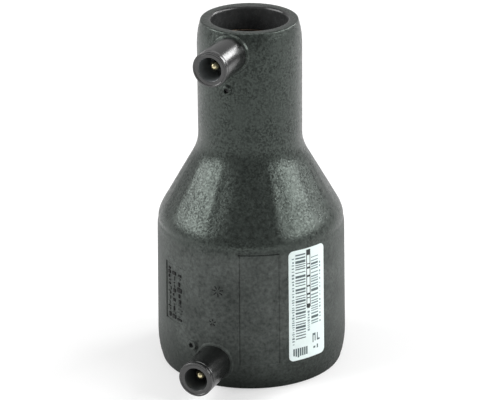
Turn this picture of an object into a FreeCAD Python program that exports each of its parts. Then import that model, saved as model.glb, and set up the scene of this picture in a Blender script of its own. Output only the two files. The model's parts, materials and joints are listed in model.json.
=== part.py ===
import FreeCAD, Part
import math
import os

# An electrofusion reducer: one moulded polyethylene body with a large socket below and a
# small one above, a resistance wire wound in both sockets, and two shrouded terminals.
# Millimetres. The origin is the centre of the large mouth face, and +Z runs to the small mouth.

V = FreeCAD.Vector

# Outer form, from the large mouth up
LARGE_OD = 82.0
LARGE_MOUTH_OD = 78.0
LARGE_TAPER_HEIGHT = 12.0     # the mouth draws in over this height
LARGE_BARREL_LENGTH = 62.3
SHOULDER_EASING = 3.5         # from the end of the barrel to where the shoulder would be sharp
CONE_LENGTH = 39.1
NECK_EASING = 2.7
SMALL_BARREL_LENGTH = 52.9
SMALL_OD = 44.6
SMALL_MOUTH_OD = 41.1
SMALL_TAPER_HEIGHT = 10.4
TAPER_RUNS = 4                # straight runs in the curve of either taper
MOUTH_EDGE_CHAMFER = 0.6

# Sockets and the passage between them
LARGE_PIPE_OD = 63.0
SMALL_PIPE_OD = 32.0
SOCKET_ALLOWANCE = 0.35       # how much wider than its pipe a socket is
LARGE_SOCKET_DEPTH = 63.0
SMALL_SOCKET_DEPTH = 43.0
LARGE_MOUTH_CHAMFER = 0.8
SMALL_MOUTH_CHAMFER = 1.15
LARGE_PASSAGE_DIA = 51.0
SMALL_PASSAGE_DIA = 26.0

# Heating wire
WIRE_SIZE = 0.8
WIRE_COVER = 0.35             # the wire lies this far behind the socket wall
WIRE_CLEARANCE = 0.03
LARGE_COIL_TURNS = 7
LARGE_COIL_PITCH = 4.5
SMALL_COIL_TURNS = 5
SMALL_COIL_PITCH = 3.8
COIL_STEPS = 24               # straight runs in a turn
COIL_BAND_MARGIN = 0.4        # bare band beyond the first and last turn
LINK_SHARE = 0.17             # how far the link stands out into the thinner wall over a coil
LINK_RAMP_LENGTH = 4.5        # height over which the link leaves a coil
LINK_STOP_MARGIN = 1.5        # how far past the large stop the link starts to slope

# Terminals
TERMINAL_AZIMUTH = 246.6      # degrees from +X towards +Y
LARGE_TERMINAL_SETBACK = 12.4 # from a mouth face to its terminal's axis
SMALL_TERMINAL_SETBACK = 9.4
SHROUD_OD = 15.5
SHROUD_BORE = 10.3
SHROUD_STAND = 19.3           # from the barrel's surface to the shroud's mouth
SHROUD_SEAT_SHARE = 0.4       # how much of the thinner wall over a coil the shroud's foot takes up
SHROUD_DEPTH = 13.0
SHROUD_CHAMFER = 0.45
SHROUD_CLEARANCE = 0.02
BOSS_OD = 17.2
BOSS_HEIGHT = 0.8
PIN_DIA = 4.0
PIN_TIP_RECESS = 3.6          # from the shroud's mouth down to the pin's tip
PIN_TIP_CHAMFER = 0.25
PIN_SHANK_DIA = 3.0
PIN_ROOT_SHARE = 0.4          # how much of the wall left below the foot the shank goes into

# Fusion indicators
LARGE_INDICATOR_AZIMUTH = 232.0
LARGE_INDICATOR_SETBACK = 18.0
SMALL_INDICATOR_AZIMUTH = 245.0
SMALL_INDICATOR_SETBACK = 24.9
INDICATOR_COLLAR_DIA = 4.3
INDICATOR_COLLAR_HEIGHT = 1.3
INDICATOR_COLLAR_CHAMFER = 0.3
INDICATOR_HOLE_DIA = 2.2
INDICATOR_CLEARANCE = 0.05
INDICATOR_SINK = 1.2          # from the collar's rim down to the pin's end
INDICATOR_WEB = 0.75          # wall left between the hole and the coil

# Label, and the fields moulded into the large barrel
LABEL_AZIMUTH = 305.9
LABEL_WIDTH = 18.8
LABEL_MARGIN = 0.1            # bare barrel beyond either end of the label
LABEL_CORNER = 2.2
LABEL_THICKNESS = 0.2
FIELD_AZIMUTH = 274.7
FIELD_WIDTH = 17.4
FIELD_DEPTH = 0.3
PANEL_AZIMUTH = 216.1
PANEL_WIDTH = 14.1
PANEL_HEIGHT = 26.2
PANEL_BASE = 25.1
PANEL_DEPTH = 0.35

# Worked out from the sizes above
LENGTH = LARGE_BARREL_LENGTH + CONE_LENGTH + SMALL_BARREL_LENGTH
NECK_Z = LARGE_BARREL_LENGTH + CONE_LENGTH
LARGE_RADIUS = LARGE_OD / 2
SMALL_RADIUS = SMALL_OD / 2
LARGE_BORE_RADIUS = (LARGE_PIPE_OD + SOCKET_ALLOWANCE) / 2
SMALL_BORE_RADIUS = (SMALL_PIPE_OD + SOCKET_ALLOWANCE) / 2
LARGE_STOP_Z = LARGE_SOCKET_DEPTH
SMALL_STOP_Z = LENGTH - SMALL_SOCKET_DEPTH
LARGE_TERMINAL_Z = LARGE_TERMINAL_SETBACK
SMALL_TERMINAL_Z = LENGTH - SMALL_TERMINAL_SETBACK
LARGE_COIL_TOP = LARGE_TERMINAL_Z + LARGE_COIL_TURNS * LARGE_COIL_PITCH
SMALL_COIL_BASE = SMALL_TERMINAL_Z - SMALL_COIL_TURNS * SMALL_COIL_PITCH
WIRE_OFFSET = WIRE_COVER + WIRE_SIZE / 2
BAND_OFFSET = WIRE_COVER + WIRE_SIZE + WIRE_CLEARANCE
LARGE_WIRE_RADIUS = LARGE_BORE_RADIUS + WIRE_OFFSET
SMALL_WIRE_RADIUS = SMALL_BORE_RADIUS + WIRE_OFFSET
LARGE_BAND_RADIUS = LARGE_BORE_RADIUS + BAND_OFFSET
SMALL_BAND_RADIUS = SMALL_BORE_RADIUS + BAND_OFFSET
BAND_OVERRUN = WIRE_SIZE / 2 + COIL_BAND_MARGIN
THINNER_COVER = min(LARGE_RADIUS - LARGE_BAND_RADIUS, SMALL_RADIUS - SMALL_BAND_RADIUS)
LINK_OFFSET = BAND_OFFSET + LINK_SHARE * THINNER_COVER
SHROUD_SEAT = SHROUD_SEAT_SHARE * THINNER_COVER
PIN_ROOT = PIN_ROOT_SHARE * (THINNER_COVER - SHROUD_SEAT)
SHROUD_LENGTH = SHROUD_STAND + SHROUD_SEAT
SHROUD_FLOOR = SHROUD_LENGTH - SHROUD_DEPTH
PIN_TIP = SHROUD_LENGTH - PIN_TIP_RECESS
LARGE_SEAT_RADIUS = LARGE_RADIUS - SHROUD_SEAT
SMALL_SEAT_RADIUS = SMALL_RADIUS - SHROUD_SEAT
LABEL_BASE = LARGE_TAPER_HEIGHT + LABEL_MARGIN
LABEL_HEIGHT = LARGE_BARREL_LENGTH - LABEL_MARGIN - LABEL_BASE


def direction(azimuth):
    """The level direction that points out from the axis at an azimuth in degrees."""
    angle = math.radians(azimuth)
    return V(math.cos(angle), math.sin(angle), 0)


def point(radius, height):
    """A point of an outline, in the plane that turned() carries round the axis."""
    return V(radius, 0, height)


def turned(outline):
    """The solid of an outline turned about the axis, from its points in order."""
    face = Part.Face(Part.makePolygon(outline + outline[:1]))
    return face.revolve(V(0, 0, 0), V(0, 0, 1), 360)


def place_radially(shape, azimuth, height, radius):
    """A copy of a shape modelled on +Z, laid to point outwards from a radius at a height."""
    out = direction(azimuth)
    placed = shape.copy()
    placed.Placement = FreeCAD.Placement(
        out * radius + V(0, 0, height), FreeCAD.Rotation(V(0, 0, 1), out)
    )
    return placed


def mouth_taper(mouth_radius, mouth_z, barrel_radius, barrel_z):
    """Points of the curve that draws in from a barrel, in line with it, to its mouth."""
    points = []
    for step in range(TAPER_RUNS + 1):
        share = 1 - step / TAPER_RUNS
        radius = barrel_radius - (barrel_radius - mouth_radius) * share**2
        points.append(point(radius, barrel_z - (barrel_z - mouth_z) * share))
    return points


def eased(start, corner, end):
    """The points that take a corner round from start to end in two straight runs."""
    return [start, (start + corner * 2 + end) * 0.25, end]


def outer_solid(grow):
    """The body's outer form with no sockets, moved out by grow."""
    large_mouth = LARGE_MOUTH_OD / 2 + grow
    large = LARGE_RADIUS + grow
    small = SMALL_RADIUS + grow
    small_mouth = SMALL_MOUTH_OD / 2 + grow
    shoulder = point(large, LARGE_BARREL_LENGTH + SHOULDER_EASING)
    neck = point(small, NECK_Z - NECK_EASING)
    slope = (neck - shoulder).normalize()
    top_edge_z = LENGTH - MOUTH_EDGE_CHAMFER
    outline = [point(0, 0), point(large_mouth - MOUTH_EDGE_CHAMFER, 0)]
    outline += mouth_taper(large_mouth, MOUTH_EDGE_CHAMFER, large, LARGE_TAPER_HEIGHT)
    outline += eased(point(large, LARGE_BARREL_LENGTH), shoulder, shoulder + slope * SHOULDER_EASING)
    outline += eased(neck - slope * NECK_EASING, neck, point(small, NECK_Z))
    outline += reversed(mouth_taper(small_mouth, top_edge_z, small, LENGTH - SMALL_TAPER_HEIGHT))
    outline += [point(small_mouth - MOUTH_EDGE_CHAMFER, LENGTH), point(0, LENGTH)]
    return turned(outline)


def sockets():
    """Everything that is hollow along the axis: both sockets, their stops and the passage."""
    return turned(
        [
            point(0, 0),
            point(LARGE_BORE_RADIUS + LARGE_MOUTH_CHAMFER, 0),
            point(LARGE_BORE_RADIUS, LARGE_MOUTH_CHAMFER),
            point(LARGE_BORE_RADIUS, LARGE_STOP_Z),
            point(LARGE_PASSAGE_DIA / 2, LARGE_STOP_Z),
            point(SMALL_PASSAGE_DIA / 2, SMALL_STOP_Z),
            point(SMALL_BORE_RADIUS, SMALL_STOP_Z),
            point(SMALL_BORE_RADIUS, LENGTH - SMALL_MOUTH_CHAMFER),
            point(SMALL_BORE_RADIUS + SMALL_MOUTH_CHAMFER, LENGTH),
            point(0, LENGTH),
        ]
    )


def coil_band(radius, low, high):
    """The shallow band in a socket wall that a coil is bedded in."""
    height = high - low + 2 * BAND_OVERRUN
    return Part.makeCylinder(radius, height, V(0, 0, low - BAND_OVERRUN))


def window(azimuth, width, base, height, corner=0.0):
    """A block that reaches from inside the large barrel out through a rectangle of its wall."""
    block = Part.makeBox(width, height, LARGE_RADIUS, V(-width / 2, 0, 0))
    if corner:
        block = block.makeFillet(corner, [e for e in block.Edges if e.BoundBox.ZLength > 1])
    block.rotate(V(0, 0, 0), V(1, 0, 0), 90)
    block.rotate(V(0, 0, 0), V(0, 0, 1), azimuth + 90)
    block.translate(direction(azimuth) * (LARGE_RADIUS / 2) + V(0, 0, base))
    return block


def terminal_boss(azimuth, height):
    """A low round pad that follows the barrel, for a shroud to stand in."""
    post = Part.makeCylinder(BOSS_OD / 2, LARGE_OD)
    return place_radially(post, azimuth, height, 0)


def shroud_seat(azimuth, height, seat_radius):
    """The blind socket for a shroud's foot, with the hole for its pin's root."""
    foot = SHROUD_OD / 2 + SHROUD_CLEARANCE
    root = PIN_SHANK_DIA / 2 + SHROUD_CLEARANCE
    hollow = turned(
        [
            point(0, -PIN_ROOT),
            point(root, -PIN_ROOT),
            point(root, 0),
            point(foot, 0),
            point(foot, SHROUD_LENGTH),
            point(0, SHROUD_LENGTH),
        ]
    )
    return place_radially(hollow, azimuth, height, seat_radius)


def indicator_collar(azimuth, height, barrel_radius):
    """The raised collar round an indicator's hole."""
    rim = INDICATOR_COLLAR_DIA / 2
    top = barrel_radius / 2 + INDICATOR_COLLAR_HEIGHT
    collar = turned(
        [
            point(0, 0),
            point(rim, 0),
            point(rim, top - INDICATOR_COLLAR_CHAMFER),
            point(rim - INDICATOR_COLLAR_CHAMFER, top),
            point(0, top),
        ]
    )
    return place_radially(collar, azimuth, height, barrel_radius / 2)


def indicator_hole(azimuth, height, floor_radius):
    """The blind hole of an indicator, open at the collar."""
    hole = Part.makeCylinder(INDICATOR_HOLE_DIA / 2, LARGE_RADIUS)
    return place_radially(hole, azimuth, height, floor_radius)


def recess(block, depth):
    """The part of a window that lies outside a floor at a depth below the surface."""
    return block.cut(outer_solid(-depth))


def wire_lead(coil_radius, root_radius, height, size):
    """The straight end that runs out from a coil to the root of its pin."""
    corner = V(coil_radius - size / 2, -size / 2, height - size / 2)
    return Part.makeBox(root_radius - coil_radius + size / 2, size, size, corner)


def wire_link(size):
    """The length that climbs inside the wall from the large coil to the small one."""
    large_radius = LARGE_BORE_RADIUS + LINK_OFFSET
    small_radius = SMALL_BORE_RADIUS + LINK_OFFSET
    route = Part.makePolygon(
        [
            point(LARGE_WIRE_RADIUS, LARGE_COIL_TOP),
            point(large_radius, LARGE_COIL_TOP + LINK_RAMP_LENGTH),
            point(large_radius, LARGE_STOP_Z + LINK_STOP_MARGIN),
            point(small_radius, NECK_Z),
            point(small_radius, SMALL_COIL_BASE - LINK_RAMP_LENGTH),
            point(SMALL_WIRE_RADIUS, SMALL_COIL_BASE),
        ]
    )
    band = Part.Face(route.makeOffset2D(size / 2))
    band.translate(V(0, -size / 2, 0))
    return band.extrude(V(0, size, 0))


def wire_ends(size):
    """The wire's straight lengths: the link and both leads, at a given thickness."""
    large_root = LARGE_SEAT_RADIUS - PIN_ROOT
    small_root = SMALL_SEAT_RADIUS - PIN_ROOT
    return [
        wire_link(size),
        wire_lead(LARGE_WIRE_RADIUS, large_root, LARGE_TERMINAL_Z, size),
        wire_lead(SMALL_WIRE_RADIUS, small_root, SMALL_TERMINAL_Z, size),
    ]


def coil(radius, base, pitch, turns):
    """A winding of square wire, carried round and up the socket's wall in short runs."""
    half = WIRE_SIZE / 2
    corners = [(-half, -half), (half, -half), (half, half), (-half, half), (-half, -half)]
    square = Part.makePolygon([point(radius + out, base + up) for out, up in corners])
    sections = []
    for step in range(round(turns * COIL_STEPS) + 1):
        section = square.copy()
        section.translate(V(0, 0, pitch * step / COIL_STEPS))
        section.rotate(V(0, 0, 0), V(0, 0, 1), 360 * step / COIL_STEPS)
        sections.append(section)
    solid, ruled = True, True
    return Part.makeLoft(sections, solid, ruled)


def at_terminals(shape):
    """A shape modelled on +X, turned to the terminals' side."""
    shape.rotate(V(0, 0, 0), V(0, 0, 1), TERMINAL_AZIMUTH)
    return shape


def reducer_body():
    """The one-piece moulding."""
    terminals = [
        (LARGE_TERMINAL_Z, LARGE_SEAT_RADIUS),
        (SMALL_TERMINAL_Z, SMALL_SEAT_RADIUS),
    ]
    padded = outer_solid(BOSS_HEIGHT)
    pads = [terminal_boss(TERMINAL_AZIMUTH, z).common(padded) for z, _ in terminals]
    collars = [indicator_collar(azimuth, z, barrel) for azimuth, z, barrel, _ in indicators()]
    body = outer_solid(0).fuse(pads + collars)
    middle = window(FIELD_AZIMUTH, FIELD_WIDTH, LABEL_BASE, LABEL_HEIGHT)
    panel = window(PANEL_AZIMUTH, PANEL_WIDTH, PANEL_BASE, PANEL_HEIGHT)
    hollows = [
        sockets(),
        coil_band(LARGE_BAND_RADIUS, LARGE_TERMINAL_Z, LARGE_COIL_TOP),
        coil_band(SMALL_BAND_RADIUS, SMALL_COIL_BASE, SMALL_TERMINAL_Z),
        recess(middle, FIELD_DEPTH),
        recess(panel, PANEL_DEPTH),
    ]
    hollows += [shroud_seat(TERMINAL_AZIMUTH, z, seat) for z, seat in terminals]
    hollows += [indicator_hole(azimuth, z, floor) for azimuth, z, _, floor in indicators()]
    hollows += [at_terminals(shape) for shape in wire_ends(WIRE_SIZE + 2 * WIRE_CLEARANCE)]
    return body.cut(hollows).removeSplitter()


def heating_wire():
    """The one resistance wire: lead, large coil, link, small coil, lead."""
    large_coil = coil(LARGE_WIRE_RADIUS, LARGE_TERMINAL_Z, LARGE_COIL_PITCH, LARGE_COIL_TURNS)
    small_coil = coil(SMALL_WIRE_RADIUS, SMALL_COIL_BASE, SMALL_COIL_PITCH, SMALL_COIL_TURNS)
    return at_terminals(large_coil.fuse([small_coil] + wire_ends(WIRE_SIZE)))


def terminal_shroud():
    """The insulating sleeve round a pin, standing on +Z from the foot in its seat."""
    outer = SHROUD_OD / 2
    inner = SHROUD_BORE / 2
    shank_hole = PIN_SHANK_DIA / 2 + SHROUD_CLEARANCE
    return turned(
        [
            point(shank_hole, 0),
            point(outer, 0),
            point(outer, SHROUD_LENGTH - SHROUD_CHAMFER),
            point(outer - SHROUD_CHAMFER, SHROUD_LENGTH),
            point(inner, SHROUD_LENGTH),
            point(inner, SHROUD_FLOOR),
            point(shank_hole, SHROUD_FLOOR),
        ]
    )


def terminal_pin():
    """The brass contact: shank through the shroud's floor, stouter stem, chamfered tip."""
    shank = PIN_SHANK_DIA / 2
    contact = PIN_DIA / 2
    return turned(
        [
            point(0, -PIN_ROOT),
            point(shank, -PIN_ROOT),
            point(shank, SHROUD_FLOOR),
            point(contact, SHROUD_FLOOR),
            point(contact, PIN_TIP - PIN_TIP_CHAMFER),
            point(contact - PIN_TIP_CHAMFER, PIN_TIP),
            point(0, PIN_TIP),
        ]
    )


def indicators():
    """Azimuth, height, barrel radius and hole floor of both fusion indicators."""
    return [
        (
            LARGE_INDICATOR_AZIMUTH,
            LARGE_INDICATOR_SETBACK,
            LARGE_RADIUS,
            LARGE_BAND_RADIUS + INDICATOR_WEB,
        ),
        (
            SMALL_INDICATOR_AZIMUTH,
            LENGTH - SMALL_INDICATOR_SETBACK,
            SMALL_RADIUS,
            SMALL_BAND_RADIUS + INDICATOR_WEB,
        ),
    ]


def fusion_indicator(azimuth, height, barrel_radius, floor_radius):
    """The loose pin that molten plastic pushes out when a socket has fused."""
    end_radius = barrel_radius + INDICATOR_COLLAR_HEIGHT - INDICATOR_SINK
    pin_radius = INDICATOR_HOLE_DIA / 2 - INDICATOR_CLEARANCE
    pin = Part.makeCylinder(pin_radius, end_radius - floor_radius)
    return place_radially(pin, azimuth, height, floor_radius)


def data_label():
    """The printed label, bent round the large barrel."""
    block = window(LABEL_AZIMUTH, LABEL_WIDTH, LABEL_BASE, LABEL_HEIGHT, LABEL_CORNER)
    return block.common(outer_solid(LABEL_THICKNESS)).cut(outer_solid(0))


def pieces():
    """Every piece of the reducer under the name of its node."""
    large_indicator, small_indicator = indicators()
    shroud, pin = terminal_shroud(), terminal_pin()
    large_seat = (TERMINAL_AZIMUTH, LARGE_TERMINAL_Z, LARGE_SEAT_RADIUS)
    small_seat = (TERMINAL_AZIMUTH, SMALL_TERMINAL_Z, SMALL_SEAT_RADIUS)
    return {
        "reducer_body": reducer_body(),
        "heating_wire": heating_wire(),
        "large_terminal_shroud": place_radially(shroud, *large_seat),
        "small_terminal_shroud": place_radially(shroud, *small_seat),
        "large_terminal_pin": place_radially(pin, *large_seat),
        "small_terminal_pin": place_radially(pin, *small_seat),
        "large_fusion_indicator": fusion_indicator(*large_indicator),
        "small_fusion_indicator": fusion_indicator(*small_indicator),
        "data_label": data_label(),
    }


os.makedirs("parts", exist_ok=True)
for name, shape in pieces().items():
    shape.exportStep(f"parts/{name}.step")
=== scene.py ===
import json
import math
import random

import bmesh
import bpy
from mathutils import Matrix, Vector

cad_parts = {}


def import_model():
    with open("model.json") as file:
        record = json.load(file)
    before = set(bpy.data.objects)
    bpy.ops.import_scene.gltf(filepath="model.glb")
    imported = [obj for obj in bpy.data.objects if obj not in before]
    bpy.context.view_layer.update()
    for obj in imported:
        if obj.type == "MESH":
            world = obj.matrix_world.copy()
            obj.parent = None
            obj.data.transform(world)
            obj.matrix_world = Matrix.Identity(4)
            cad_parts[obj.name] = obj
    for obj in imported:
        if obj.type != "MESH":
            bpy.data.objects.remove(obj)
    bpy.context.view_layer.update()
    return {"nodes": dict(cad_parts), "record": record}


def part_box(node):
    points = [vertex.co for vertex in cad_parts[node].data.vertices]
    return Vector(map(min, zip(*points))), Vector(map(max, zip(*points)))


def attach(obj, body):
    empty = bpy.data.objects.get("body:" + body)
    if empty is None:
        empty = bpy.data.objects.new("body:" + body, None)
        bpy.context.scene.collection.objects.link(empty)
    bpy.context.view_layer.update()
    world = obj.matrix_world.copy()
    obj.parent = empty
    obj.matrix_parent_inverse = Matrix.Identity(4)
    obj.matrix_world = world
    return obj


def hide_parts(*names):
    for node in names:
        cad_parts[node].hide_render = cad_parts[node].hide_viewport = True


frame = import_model()

# The looks of an electrofusion reducer that stands on its large mouth.
# Sizes are in metres, angles round the axis in degrees from +X towards +Y.

MM = 0.001
FULL_TURN = 360.0

# Sizes that come from the frame
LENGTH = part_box("reducer_body")[1].z
LARGE_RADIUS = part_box("reducer_body")[1].x
MOUNTS = {mount["name"]: mount for mount in frame["record"]["mounts"]}
LARGE_BORE_RADIUS = MOUNTS["large_socket"]["dims"]["r_mm"] * MM
SMALL_BORE_RADIUS = MOUNTS["small_socket"]["dims"]["r_mm"] * MM
LARGE_SOCKET_DEPTH = 63.0 * MM
SMALL_SOCKET_DEPTH = 43.0 * MM
TERMINAL_AZIMUTH = math.degrees(math.atan2(*reversed(MOUNTS["large_terminal"]["axis"][:2])))
LARGE_TERMINAL_Z = MOUNTS["large_terminal"]["pos_m"][2]
SMALL_TERMINAL_Z = MOUNTS["small_terminal"]["pos_m"][2]

# Outer form of the body
LARGE_MOUTH_RADIUS = 39.0 * MM
LARGE_TAPER_HEIGHT = 13.5 * MM
LARGE_TAPER_POWER = 2.45
BARREL_DRAFT = 0.65 * MM         # how much slimmer the large barrel is at its shoulder
SHOULDER_Z = 66.9 * MM           # where the shoulder and the neck would be sharp
NECK_Z = 98.7 * MM
SMALL_RADIUS = 22.3 * MM
SMALL_MOUTH_RADIUS = 20.55 * MM
SMALL_TAPER_HEIGHT = 12.4 * MM
SMALL_TAPER_POWER = 2.5
SHOULDER_BLEND = 2.4 * MM
NECK_BLEND = 2.6 * MM
CREASE_DROP = 2.6 * MM           # from the shoulder down to the sink line
CREASE_DEPTH = 0.3 * MM
CREASE_REACH = 1.1 * MM
RIM_ROUND = 0.8 * MM
LARGE_MOUTH_CHAMFER = 0.8 * MM
SMALL_MOUTH_CHAMFER = 1.15 * MM
SMALL_MOUTH_HEIGHT = 1.5 * MM
LARGE_PASSAGE_RADIUS = 25.5 * MM
SMALL_PASSAGE_RADIUS = 13.0 * MM

# Slight flutes along the cone
FLUTE_DEPTH = 0.1 * MM
FLUTE_REACH = 0.62               # of the cone's height, each way from its middle
FLUTE_WANDER = 0.25              # radians
WANDER_PACE = 180.0              # radians for each metre of height
FLUTES = (
    # number round the cone, start in radians, strength, share of the wander
    (9, 1.1, 1.0, 1),
    (14, 4.0, 0.8, -1),
    (23, 2.0, 0.7, 2),
    (37, 0.5, 0.35, 0),
)

# Grid of the body: the steps between its lines, and how close two of them may come
AZIMUTH_STEP = 2.0
HEIGHT_STEP = 1.5 * MM
SHOULDER_STEP = 0.5 * MM
CLOSEST_AZIMUTHS = 0.08
CLOSEST_HEIGHTS = 0.08 * MM

# Coils
WIRE_RADIUS = 0.4 * MM
WIRE_DEPTH = 0.35 * MM           # how far the wire lies behind the socket wall
LARGE_COIL = (LARGE_TERMINAL_Z, LARGE_TERMINAL_Z + 31.5 * MM, 7)
SMALL_COIL = (SMALL_TERMINAL_Z - 19.0 * MM, SMALL_TERMINAL_Z, 5)
GROOVE_WIDTH = 1.3 * MM
GROOVE_DEPTH = 0.75 * MM
GROOVE_ROWS = 16                 # rows of the wall for each turn
WIRE_STEPS = 60                  # steps of the wire for each turn
LINK_DEPTH = 2.0 * MM            # how far the link lies behind the socket walls
LINK_EASE = 4.5 * MM             # height in which a coil runs over into the link
LEAD_DEPTH = 3.4 * MM            # how far below the barrel's surface a lead ends

# Fields moulded into the large barrel: azimuth, width, lowest and highest point, depth,
# and how deep the line is at its left, right, low and high edge, in mm
FIELD = (274.7, 17.4 * MM, 12.1 * MM, 62.6 * MM, 0.25 * MM, (0.3, 0.14, 0.06, 0.6))
PANEL = (216.1, 14.1 * MM, 25.1 * MM, 51.3 * MM, 0.35 * MM, (0.5, 0.1, 0.3, 0.3))
EDGE_RAMP = 0.22 * MM
EDGE_LINE = 0.34 * MM
EDGE_HOLD = 0.6 * MM

# Bars in the panel: where each rank stands across it, and the widths drawn from, in mm
PANEL_RANKS = (
    (-4.4, (1.0, 1.5, 1.9)),
    (-0.9, (0.8, 1.6, 2.6)),
    (3.0, (1.2, 2.2, 3.0)),
)

# Share of the panel bars that take the darker dull material, painted shade among the raised marks
PAINTED_SHADE_SHARE = 0.55                # of the bars

# Plain marks: azimuth, height, reach and number of strokes
MOULD_MARKS = ((249.3, 45.4 * MM, 2.6 * MM, 7), (245.8, 30.6 * MM, 1.7 * MM, 5))
MARK_HUB = 0.35                  # of a mark's reach, left free in its middle
MARK_WIDTH = 0.54 * MM

# Terminals and indicators
BOSS_RADIUS = 8.6 * MM
BOSS_HEIGHT = 0.8 * MM
SHROUD_RADIUS = 7.75 * MM
SHROUD_BORE = 5.15 * MM
SHROUD_HOLE = 1.6 * MM           # round the contact's stem
SHROUD_LIP = 0.8 * MM
SHROUD_SEAT = 1.978 * MM         # from the barrel's surface in to the shroud's foot
SHROUD_LENGTH = 19.2 * MM + SHROUD_SEAT
SHROUD_FLOOR = SHROUD_LENGTH - 13.0 * MM
PIN_RADIUS = 2.0 * MM
PIN_STEM = 1.48 * MM
PIN_RECESS = 3.6 * MM
PIN_DOME = 1.9 * MM
COLLAR_RADIUS = 2.15 * MM
COLLAR_HEIGHT = 1.3 * MM
COLLAR_HOLE = 1.1 * MM
LARGE_INDICATOR = (232.0, 18.0 * MM, LARGE_RADIUS)
SMALL_INDICATOR = (245.0, LENGTH - 24.9 * MM, SMALL_RADIUS)

# Label
LABEL_AZIMUTH = 305.9
LABEL_WIDTH = 18.8 * MM
LABEL_LOW = 12.0 * MM
LABEL_HIGH = 62.9 * MM
LABEL_CORNER = 2.2 * MM
LABEL_THICKNESS = 0.2 * MM
LABEL_FACE = LABEL_THICKNESS - 0.03 * MM    # so that the print on it stays inside the solid
LABEL_COLUMNS = 24
LABEL_STEP = 2.0 * MM
PRINT_FOOT = LABEL_THICKNESS - 0.05 * MM
PRINT_FACE = LABEL_FACE + 0.02 * MM
PATCH_WIDTH = 1.2 * MM           # the widest and tallest flat part of a printed patch
PATCH_HEIGHT = 4.0 * MM

# Print, in mm from the label's left edge and from the part's foot
DASH_COLUMNS = (
    # left and right, low and high, length and gap of the dashes
    (1.45, 2.6, 19.5, 59.5, 0.55, 0.6),
    (15.9, 16.6, 27.0, 56.5, 0.6, 0.9),
    (9.2, 10.3, 24.5, 33.0, 0.6, 0.6),
)
BLOCKS = (
    # left and right, low and high
    (11.8, 12.3, 18.4, 22.6),
    (12.3, 13.5, 21.6, 22.6),
    (13.0, 13.5, 18.9, 21.6),
    (14.3, 14.8, 18.8, 22.4),
    (14.8, 15.9, 18.8, 19.6),
    (12.2, 13.3, 15.6, 16.5),
    (14.2, 14.9, 15.2, 17.0),
)

# Camera, from the photograph's 500 by 400 frame
CAMERA_PITCH = 0.3902            # radians, looking down
CAMERA_ROLL = 0.0081
CAMERA_DISTANCE = 1226.5 * MM
CAMERA_TARGET = Vector((-0.32 * MM, 0.0, 71.5 * MM))
CAMERA_LENS = 204.5              # on a sensor 36 wide

# Materials: the grain, and where the black body's barrel stops being paler and over what
# height that fades out at the shoulder and towards the floor. The paler barrel is painted
# reflection of the bright floor, and its fading towards the floor is painted shade.
NOISE_DETAIL = (3.0, 2.0, 1.0)   # of the coarse, the fine and the finest noise
GRAIN_DEPTH = 0.2 * MM
PALE_TOP = SHOULDER_Z - 4.0 * MM
PALE_EDGE = 3.0 * MM
# Height from the floor over which painted shade darkens the barrel
FOOT_SHADE_REACH = 26.0 * MM

# Light: how bright the surroundings are as fill and as seen
FLOOR_COLOUR = (0.64, 0.64, 0.64)
FLOOR_GLOW = 0.38
WORLD_FILL = 0.44
ROOM_SEEN = 0.29
SWEEP_SEEN = 0.62
CEILING_SEEN = 3.2
# Where the sweep and the ceiling begin and where they are full, as parts of a direction
SWEEP_BEHIND = (0.3, 0.85)
SWEEP_FOOT = (-0.05, 0.12)
SWEEP_TOP = (0.8, 0.5)
CEILING_EDGE = (0.88, 0.96)
SOFTBOXES = (
    # name, azimuth, elevation, distance, width, height, watts
    ("left_softbox", 184.0, 27.0, 1.1, 1.0, 0.5, 10.6),
    ("right_softbox", 349.0, 26.0, 1.1, 1.1, 0.4, 10.0),
    ("right_strip", 35.0, 28.0, 1.1, 0.36, 0.44, 4.6),
)


def arc_degrees(length):
    """The angle that a length along the large barrel takes up."""
    return math.degrees(length / LARGE_RADIUS)


def on_axis(azimuth, radius, height):
    """The point at an azimuth, a distance from the axis and a height."""
    angle = math.radians(azimuth)
    return Vector((radius * math.cos(angle), radius * math.sin(angle), height))


def smooth_min(a, b, blend):
    """The smaller of two values, rounded off where they come within the blend."""
    near = max(blend - abs(a - b), 0.0) / blend
    return min(a, b) - near * near * blend / 4


def barrel_line(z):
    """The large barrel's radius at a height, where it runs on straight from its taper."""
    up = max(z - LARGE_TAPER_HEIGHT, 0.0) / (SHOULDER_Z - LARGE_TAPER_HEIGHT)
    return LARGE_RADIUS - BARREL_DRAFT * up


def outer_radius(z):
    """The body's outer radius at a height, without pads, fields or rim rounds."""
    shoulder = LARGE_RADIUS - BARREL_DRAFT
    slope = (shoulder - SMALL_RADIUS) / (NECK_Z - SHOULDER_Z)
    cone = shoulder - slope * (z - SHOULDER_Z)
    radius = smooth_min(barrel_line(z), cone, SHOULDER_BLEND)
    radius = -smooth_min(-radius, -SMALL_RADIUS, NECK_BLEND)
    from_crease = (z - SHOULDER_Z + CREASE_DROP) / CREASE_REACH
    radius -= CREASE_DEPTH * math.exp(-from_crease * from_crease)
    if z < LARGE_TAPER_HEIGHT:
        down = (LARGE_TAPER_HEIGHT - z) / LARGE_TAPER_HEIGHT
        radius = LARGE_RADIUS - (LARGE_RADIUS - LARGE_MOUTH_RADIUS) * down**LARGE_TAPER_POWER
    top = LENGTH - SMALL_TAPER_HEIGHT
    if z > top:
        up = (z - top) / SMALL_TAPER_HEIGHT
        radius = SMALL_RADIUS - (SMALL_RADIUS - SMALL_MOUTH_RADIUS) * up**SMALL_TAPER_POWER
    return radius


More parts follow.
